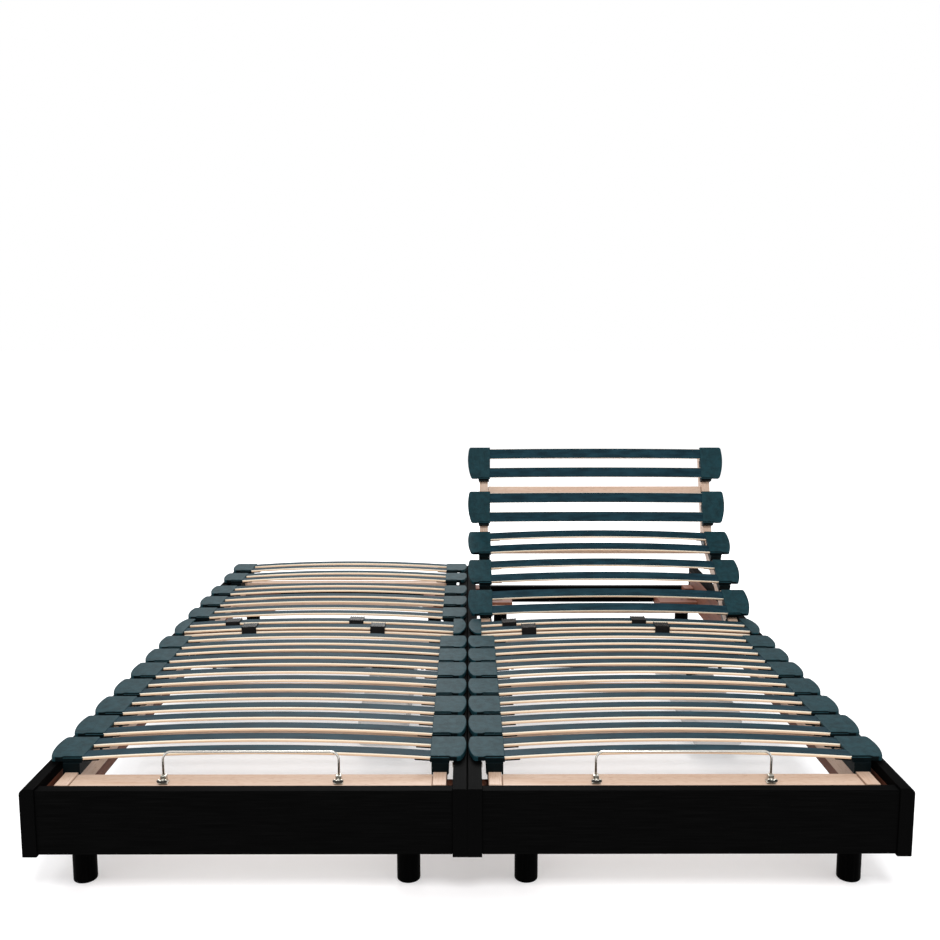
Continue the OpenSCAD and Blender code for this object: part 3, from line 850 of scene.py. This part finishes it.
def lumbar_cap(solid, upper, lower):
    """An end cap over two stacked pairs of slats, its slats lying towards -X."""
    top_low, top_high = solid.at(2, solid.high.z)
    foot_low, foot_high = solid.at(2, solid.low.z)
    length = top_high.y - top_low.y
    outline = plate_outline(top_high.x - top_low.x, length, LUMBAR_BULGE, LUMBAR_WIDEST_AT)
    placed = [(top_low.x + x, top_low.y + y) for x, y in outline]
    plate = crowned_plate(placed, solid.high.z - PLATE_T, solid.high.z)
    floor_z = solid.low.z + LUMBAR_FLOOR
    box_foot, box_head = upper[0].low.y - LUMBAR_RIM, upper[-1].low.y + Bow(upper[0]).width + LUMBAR_RIM
    box_high = (solid.high.x - LUMBAR_BOX_END, box_head, solid.high.z - PLATE_T / 2)
    box = block((top_low.x, box_foot, floor_z), box_high, 1.5 * MM)
    clip, rail_slot = rail_clip(foot_low, foot_high, floor_z + 4 * MM)
    cuts = [rail_slot]
    for slat in (*upper, *lower):
        bow = Bow(slat)
        cuts.append(mouth(bow, top_low.x, slat.low.y, bow.half + MOUTH_PLAY - top_low.x))
    # Painted shade: the darker rubber goes on all that lies below the plate.
    return paint_shade_below(joined([plate, box, *clip], cuts), solid.high.z - PLATE_T + SHADE_DROP)


def build_lumbar_caps(node):
    piece = Piece(node + "_moulded")
    stacks = {layer: solids_of(f"lumbar_{layer}_slats") for layer in ("upper", "lower")}
    for solid in solids_of(node):
        flip = flip_for(solid)
        model = mirrored(solid, flip)
        own = {key: [s for s in slats if s.place == solid.place] for key, slats in stacks.items()}
        bm = lumbar_cap(model, own["upper"], own["lower"])
        piece.add(bm, solid.place @ flip, (model.low, (0, 1, 2)))
    piece.build(node, [FINISHES[slots[node]], PAINTED_SHADE_RUBBER])


def tilt_of(solid):
    """How far a box has been turned about Y, from the edge between two of its ends' corners."""
    left = min(solid.points, key=lambda p: (round(p[0], 5), p[2]))
    foot = min(solid.points, key=lambda p: (round(p[2], 5), p[0]))
    run, drop = foot[0] - left[0], left[2] - foot[2]
    angle = math.atan2(drop, run)
    return angle if angle < math.pi / 4 else angle - math.pi / 2


def build_slider(node):
    """A moulded sleeve round two slats, with end flanges and grip ribs on its top."""
    solid = solids_of(node)[0]
    middle = (solid.low + solid.high) / 2
    turn = Matrix.Rotation(tilt_of(solid), 4, "Y")
    back = turn.inverted()
    points = np.array([back @ (Vector(p) - middle) for p in solid.points])
    size = Vector(points.max(0)) - Vector(points.min(0))
    x, y, z = size / 2
    inset = SLIDER_WAIST
    solids = [block((-x + 1 * MM, inset - y, inset - z), (x - 1 * MM, y - inset, z - inset), 1.2 * MM)]
    for end in (-x, x - SLIDER_FLANGE):
        solids.append(block((end, -y, -z), (end + SLIDER_FLANGE, y, z), 1.0 * MM))
    pitch = (2 * x - 2 * SLIDER_FLANGE) / (SLIDER_RIBS + 1)
    rib_half, rib_top, rib_y = SLIDER_RIB[0] / 2, z - 0.2 * MM, y - SLIDER_RIB_INSET
    for i in range(SLIDER_RIBS):
        rib_x = -x + SLIDER_FLANGE + (i + 1) * pitch
        rib_low = (rib_x - rib_half, -rib_y, rib_top - SLIDER_RIB[1])
        solids.append(block(rib_low, (rib_x + rib_half, rib_y, rib_top), 0.7 * MM))
    wall = SLIDER_WALL
    slot = block((-x - 1 * MM, wall - y, wall - z), (x + 1 * MM, y - wall, z - wall), 1.0 * MM)
    piece = Piece(node + "_moulded")
    piece.add(joined(solids, [slot]), solid.place @ Matrix.Translation(middle) @ turn)
    piece.build(node, [FINISHES[slots[node]]])


build_lumbar_caps("lumbar_holders")
for node in [name for name in slots if name.endswith("_slider")]:
    build_slider(node)


# ---- wire, clamps, screws and turned parts ----

WIRE_BEND = 17 * MM
WIRE_R = 2.5 * MM
WIRE_SIDES = 16
# Width, length and top of the clamp's flange and body, and radius, floor and length of its bore
CLAMP_BASE = (18 * MM, 18 * MM, 2.6 * MM)
CLAMP_BODY = (12 * MM, 14 * MM, 17.8 * MM)
CLAMP_BORE = (3.2 * MM, 4 * MM, 20 * MM)
CLAMP_SCREW_Z = 9 * MM
# Turned shapes, as (radius, height) points in mm
HUB = [(2.6, 0), (2.6, 3.4), (4.4, 3.6), (4, 8), (3, 9.2)]
HUB_END = 9.6 * MM
WING_REACH = 7 * MM
WING_T = 2.6 * MM
WING_BACK = 4 * MM
SCREW_R = 4.2 * MM
SCREW_RISE = 1.4 * MM
PIN_R = 6 * MM
PIN_SLIM = 0.03
PIN_ROOT = 1 * MM
PIN_HEAD = 4 * MM
RIVET = [(8.4, 0), (7.6, 1.6), (4.6, 2.6)]
RIVET_RISE = 3 * MM
STRAP_SCREWS = (24 * MM, 45 * MM)
# How far a leg's foot draws in at each height, in mm
FOOT_EASING = [(3, 0), (1.4, 0.5), (0.3, 1.8), (0, 3.6)]
STUD_R = 5 * MM


def moved(bm, matrix):
    """The same shell, moved."""
    bmesh.ops.transform(bm, matrix=matrix, verts=bm.verts)
    return bm


def facing(direction, at=(0, 0, 0)):
    """Turns +Z to a direction and moves the origin to a place."""
    return Matrix.Translation(at) @ Vector(direction).to_track_quat("Z", "Y").to_matrix().to_4x4()


def flat_tube(path, y, radius, sides):
    """A round bar along a path in X and Z."""
    rings = []
    for i, (x, z) in enumerate(path):
        before, after = path[max(i - 1, 0)], path[min(i + 1, len(path) - 1)]
        along = Vector((after[0] - before[0], 0, after[1] - before[1])).normalized()
        across = along.cross(Vector((0, 1, 0)))
        ring = []
        for j in range(sides):
            turn = 2 * math.pi * j / sides
            outward = math.cos(turn) * across + math.sin(turn) * Vector((0, 1, 0))
            ring.append(Vector((x, y, z)) + radius * outward)
        rings.append(ring)
    return sweep(rings)


def build_wire(node):
    """The mattress retainer: one bright wire, bent twice."""
    solid = solids_of(node)[0]
    reach, top = solid.high.x - WIRE_R, solid.high.z - WIRE_R
    path = [(-reach, solid.low.z), (-reach, (solid.low.z + top) / 2)]
    path += arc((WIRE_BEND - reach, top - WIRE_BEND), WIRE_BEND, 180, 90, 10)
    path += arc((reach - WIRE_BEND, top - WIRE_BEND), WIRE_BEND, 90, 0, 10)
    path += [(reach, (solid.low.z + top) / 2), (reach, solid.low.z)]
    piece = Piece(node + "_bent")
    piece.add(flat_tube(path, (solid.low.y + solid.high.y) / 2, WIRE_R, WIRE_SIDES), solid.place)
    piece.build(node, [FINISHES[slots[node]]])


def closed_profile(points, rise):
    """A turned part's profile from points in mm, its ends on the axis at heights 0 and rise."""
    return [(0, 0), *((radius * MM, height * MM) for radius, height in points), (0, rise)]


def turned_part(profile, axis, at, sides=24):
    """A part turned from (radius, height) points, its axis along a direction."""
    return moved(lathe(profile, sides), facing(axis, at))


def wing_ear(side):
    """One ear of a wing screw, seen along its axis, from the hub outwards."""
    tip = arc((WING_REACH, 1 * MM), 4 * MM, -75, 150, 10)
    outline = [(side * x, z) for x, z in [(1 * MM, -3 * MM)] + tip + [(1 * MM, 3 * MM)]]
    return side_prism(outline, -WING_T / 2, WING_T / 2, 0.6 * MM)


def clamp_shells(solid):
    """A zinc clamp block on its flange, bored for the wire, with a wing screw that pinches it."""
    base, screw_z = solid.low.z, solid.low.z + CLAMP_SCREW_Z
    wire_x = (solid.low.x + solid.high.x) / 2
    middle_y = solid.high.y - CLAMP_BASE[1] / 2

    def centred(size, low):
        x, y, top = size
        low_corner = (wire_x - x / 2, middle_y - y / 2, base + low)
        return low_corner, (wire_x + x / 2, middle_y + y / 2, base + top)

    flange = block(*centred(CLAMP_BASE, 0), 0.8 * MM)
    body = block(*centred(CLAMP_BODY, 1 * MM), 1.6 * MM)
    bore_r, bore_low, bore_l = CLAMP_BORE
    bore = lathe([(0, 0), (bore_r, 0), (bore_r, bore_l), (0, bore_l)])
    bored = joined([flange, body], [moved(bore, Matrix.Translation((wire_x, middle_y, base + bore_low)))])
    hub_at = (wire_x, middle_y - CLAMP_BODY[1] / 2, screw_z)
    hub = turned_part(closed_profile(HUB, HUB_END), (0, -1, 0), hub_at)
    ears_at = Matrix.Translation((wire_x, solid.low.y + WING_BACK, screw_z))
    return [bored, hub, *(moved(wing_ear(side), ears_at) for side in (-1, 1))]


def build_clamps(node):
    piece = Piece(node + "_turned")
    for solid in solids_of(node):
        for shell in clamp_shells(solid):
            piece.add(shell, solid.place)
    piece.build(node, [FINISHES[slots[node]]])


def screw_head():
    """A domed screw head on z = 0, with a cross recess."""
    shape = [(0, 0), (1, 0), (1, 0.3), (0.8, 0.8), (0, 1)]
    dome = lathe([(radius * SCREW_R, height * SCREW_RISE) for radius, height in shape], 20)
    long, thin = 0.55 * SCREW_R, 0.16 * SCREW_R
    low, high = 0.4 * SCREW_RISE, 2 * SCREW_RISE
    return joined([dome], [block((-a, -b, low), (a, b, high)) for a, b in ((long, thin), (thin, long))])


def slimmed_pin(bm, y, z):
    """Takes a little off a pin along X and squares its root, so that its flats clear those of its bore."""
    for vert in bm.verts:
        across = Vector((0, vert.co.y - y, vert.co.z - z))
        if across.length < PIN_R + PIN_ROOT:
            vert.co -= across * max(PIN_SLIM, 1 - (1 - PIN_SLIM) * PIN_R / max(across.length, TINY))
    return bm


def build_hinges(node):
    """Hinge straps with a riveted pin head and two screws each."""
    piece = Piece(node + "_riveted")
    for solid in solids_of(node):
        toward = -1 if solid.low.x > 0 else 1
        face_x = (solid.low.x if toward < 0 else solid.high.x) - toward * PIN_HEAD
        axis_z, end_r = (solid.low.z + solid.high.z) / 2, (solid.high.z - solid.low.z) / 2
        # A strap is round at its pin and square at its other end.
        head_end = solid.at(1, solid.high.y)
        pin_at_head = head_end[1].z - head_end[0].z < end_r
        pin_y = solid.high.y - end_r if pin_at_head else solid.low.y + end_r
        along = -1 if pin_at_head else 1
        piece.add(slimmed_pin(refined(solid, 0.9 * MM), pin_y, axis_z), solid.place)
        dome = closed_profile(RIVET, RIVET_RISE)
        piece.add(turned_part(dome, (toward, 0, 0), (face_x, pin_y, axis_z)), solid.place)
        for step in STRAP_SCREWS:
            at = facing((toward, 0, 0), (face_x, pin_y + along * step, axis_z))
            piece.add(moved(screw_head(), at), solid.place)
    piece.build(node, [FINISHES[slots[node]]])


def build_legs(node):
    """Turned legs with an eased foot and a steel stud."""
    piece = Piece(node + "_turned")
    for solid in solids_of(node):
        radius = (solid.high.x - solid.low.x) / 2
        levels = sorted({round(float(z), 5) for z in solid.points[:, 2]})
        shoulder, top = levels[-2], levels[-1]
        foot = [(radius - inset * MM, height * MM) for inset, height in FOOT_EASING]
        shaft = [(radius, shoulder - 1 * MM), (radius - 1 * MM, shoulder)]
        stud = [(STUD_R, shoulder), (STUD_R, top), (0, top)]
        middle = (solid.low + solid.high) / 2
        leg = lathe([(0, 0), *foot, *shaft, *stud], 64)
        piece.add(moved(leg, Matrix.Translation((middle.x, middle.y, 0))), solid.place, (middle, (2, 1, 0)))
    piece.build(node, [FINISHES[slots[node]]])


for unit in UNITS:
    build_wire(unit + "_retainer_bar")
    build_clamps(unit + "_bar_clamps")
    build_hinges(unit + "_back_hinges")
    build_hinges(unit + "_thigh_hinges")
build_legs("legs")


# ---- drive housings ----

GROOVE_H, GROOVE_DEPTH = 1.6 * MM, 1.4 * MM
GROOVE_AT = 0.45
HOUSING_CORNER = 22 * MM
LID_RIBS = 7
LID_RIB_PITCH = 12 * MM
LID_RIB_W = 5 * MM
LID_RIB_DEPTH = 1.4 * MM
LID_RIB_MARGIN = 16 * MM
LID_SCREW_MARGIN = (14 * MM, 24 * MM)
LID_SCREW_Y = 80 * MM


def rounded_plan(low, high, radius, steps=6):
    """A rectangle seen from above, with round corners."""
    outline = []
    near_x, far_x, near_y, far_y = low.x + radius, high.x - radius, low.y + radius, high.y - radius
    for turn, centre in enumerate(((far_x, near_y), (far_x, far_y), (near_x, far_y), (near_x, near_y))):
        start = 90 * turn - 90
        outline += arc(centre, radius, start, start + 90, steps)
    return outline


def band(low, high, depth, z_low, z_high):
    """A closed ring that sticks into a housing's sides by depth, to cut its parting groove."""
    inset, outset = Vector((depth, depth, 0)), Vector((2 * MM, 2 * MM, 0))
    inner = rounded_plan(low + inset, high - inset, HOUSING_CORNER - depth)
    outer = rounded_plan(low - outset, high + outset, HOUSING_CORNER + 2 * MM)
    bm = bmesh.new()
    rings = []
    for outline, z in ((inner, z_low), (outer, z_low), (outer, z_high), (inner, z_high)):
        rings.append([bm.verts.new((x, y, z)) for x, y in outline])
    count = len(inner)
    for first, second in zip(rings, rings[1:] + rings[:1]):
        for i in range(count):
            j = (i + 1) % count
            bm.faces.new([first[i], first[j], second[j], second[i]])
    bmesh.ops.recalc_face_normals(bm, faces=bm.faces)
    return bm


def build_housings(node):
    """Twin-motor housings, with a parting groove round the sides, and ribs and screws on the lid below."""
    piece = Piece(node + "_moulded")
    for solid in solids_of(node):
        low, high = solid.low, solid.high
        middle = (low + high) / 2
        seam = low.z + GROOVE_AT * (high.z - low.z)
        cuts = [band(low, high, GROOVE_DEPTH, seam, seam + GROOVE_H)]
        for i in range(LID_RIBS):
            y = middle.y + (i - (LID_RIBS - 1) / 2) * LID_RIB_PITCH
            rib_low = (low.x + LID_RIB_MARGIN, y - LID_RIB_W / 2, low.z - 1 * MM)
            cuts.append(block(rib_low, (high.x - LID_RIB_MARGIN, y + LID_RIB_W / 2, low.z + LID_RIB_DEPTH)))
        piece.add(joined([refined(solid, 3 * MM, 3)], cuts), solid.place, (middle, (1, 0, 2)))
        in_x, in_y = LID_SCREW_MARGIN
        for x in (low.x + in_x, high.x - in_x):
            for y in (low.y + in_y, middle.y - LID_SCREW_Y, middle.y + LID_SCREW_Y, high.y - in_y):
                piece.add(moved(screw_head(), facing((0, 0, -1), (x, y, low.z + 0.2 * MM))), solid.place)
    piece.build(node, [FINISHES[slots[node]]])


build_housings("drive_housings")


# ---- boards, rails and steel ----

ROUNDINGS = {
    "stained_panel": 1.6 * MM,
    "bare_wood": 1.5 * MM,
    "dark_steel": 0.8 * MM,
    "zinc_steel": 0.8 * MM,
    "beech": 3.0 * MM,
}
END_STAIN = 26 * MM
TOP_STAIN = 22 * MM


def stain_outside(bm, panel):
    """Leaves a side panel's inner face raw, but for a stained margin at its top and both ends."""
    outward = 1 if panel.low.x + panel.high.x > 0 else -1
    margins = (
        ((0, panel.low.y + END_STAIN, 0), (0, 1, 0)),
        ((0, panel.high.y - END_STAIN, 0), (0, 1, 0)),
        ((0, 0, panel.high.z - TOP_STAIN), (0, 0, 1)),
    )
    for place, normal in margins:
        everything = bm.verts[:] + bm.edges[:] + bm.faces[:]
        bmesh.ops.bisect_plane(bm, geom=everything, plane_co=place, plane_no=normal)
    bm.normal_update()
    for face in bm.faces:
        middle = face.calc_center_median()
        between = panel.low.y + END_STAIN < middle.y < panel.high.y - END_STAIN
        inward = face.normal.x * outward < -0.99
        face.material_index = 1 if between and inward and middle.z < panel.high.z - TOP_STAIN else 0


def build_refined(node):
    """A CAD node's solids with clean faces and rounded edges; side panels stay raw on their inner face."""
    piece = Piece(node + "_finished")
    slot = slots[node]
    is_side = node.endswith("side_panel")
    for solid in solids_of(node):
        bm = refined(solid, ROUNDINGS[slot], 3 if slot == "beech" else 2)
        if is_side:
            stain_outside(bm, solid)
        piece.add(bm, solid.place)
    piece.build(node, [FINISHES[slot]] + ([RAW_WOOD] if is_side else []))


for node in list(frame["nodes"]):
    if not frame["nodes"][node].hide_render:
        build_refined(node)


# ---- floor, light and camera ----


def pale_floor():
    """A matt floor that glows a little, so that it turns white away from the base's soft shadow."""
    n = Nodes("pale studio floor")
    n.set(Base_Color=(0.66, 0.66, 0.67, 1), Roughness=0.9, Specular_IOR_Level=0.0)
    n.set(Emission_Color=(1, 1, 1, 1), Emission_Strength=0.36)
    bm = bmesh.new()
    bmesh.ops.create_grid(bm, x_segments=1, y_segments=1, size=60)
    mesh = bpy.data.meshes.new("floor")
    bm.to_mesh(mesh)
    bm.free()
    mesh.materials.append(n.material)
    floor = bpy.data.objects.new("floor", mesh)
    bpy.context.scene.collection.objects.link(floor)


def soft_light(name, position, size, power):
    """A square softbox aimed at the middle of the base."""
    light = bpy.data.lights.new(name, "AREA")
    light.shape, light.size, light.energy = "SQUARE", size, power
    lamp = bpy.data.objects.new(name, light)
    bpy.context.scene.collection.objects.link(lamp)
    lamp.location = position
    aim = Vector((0, 0, 0.2)) - Vector(position)
    lamp.rotation_euler = aim.to_track_quat("-Z", "Y").to_euler()


def camera(place, pitch, yaw, lens):
    """A camera that looks towards the head end, turned down by pitch and right by yaw, in radians."""
    data = bpy.data.cameras.new("camera")
    data.lens = lens
    data.sensor_width = 36
    eye = bpy.data.objects.new("camera", data)
    bpy.context.scene.collection.objects.link(eye)
    eye.location = place
    eye.rotation_euler = (math.pi / 2 - pitch, 0, -yaw)
    bpy.context.scene.camera = eye


scene = bpy.context.scene
scene.view_settings.view_transform = "Standard"
scene.world = bpy.data.worlds.new("white studio")
scene.world.use_nodes = True
scene.world.node_tree.nodes["Background"].inputs["Color"].default_value = (1, 1, 1, 1)
scene.world.node_tree.nodes["Background"].inputs["Strength"].default_value = 1.0
pale_floor()
soft_light("rear softbox", (-0.4, 3.6, 3.2), 2.6, 190)
soft_light("front softbox", (0.4, -4.6, 4.4), 1.2, 230)
# The place, pitch, yaw and lens that the photo's own perspective gives
camera((0.0001, -2.9634, 1.1633), 0.1331, 0.0026, 39.5)
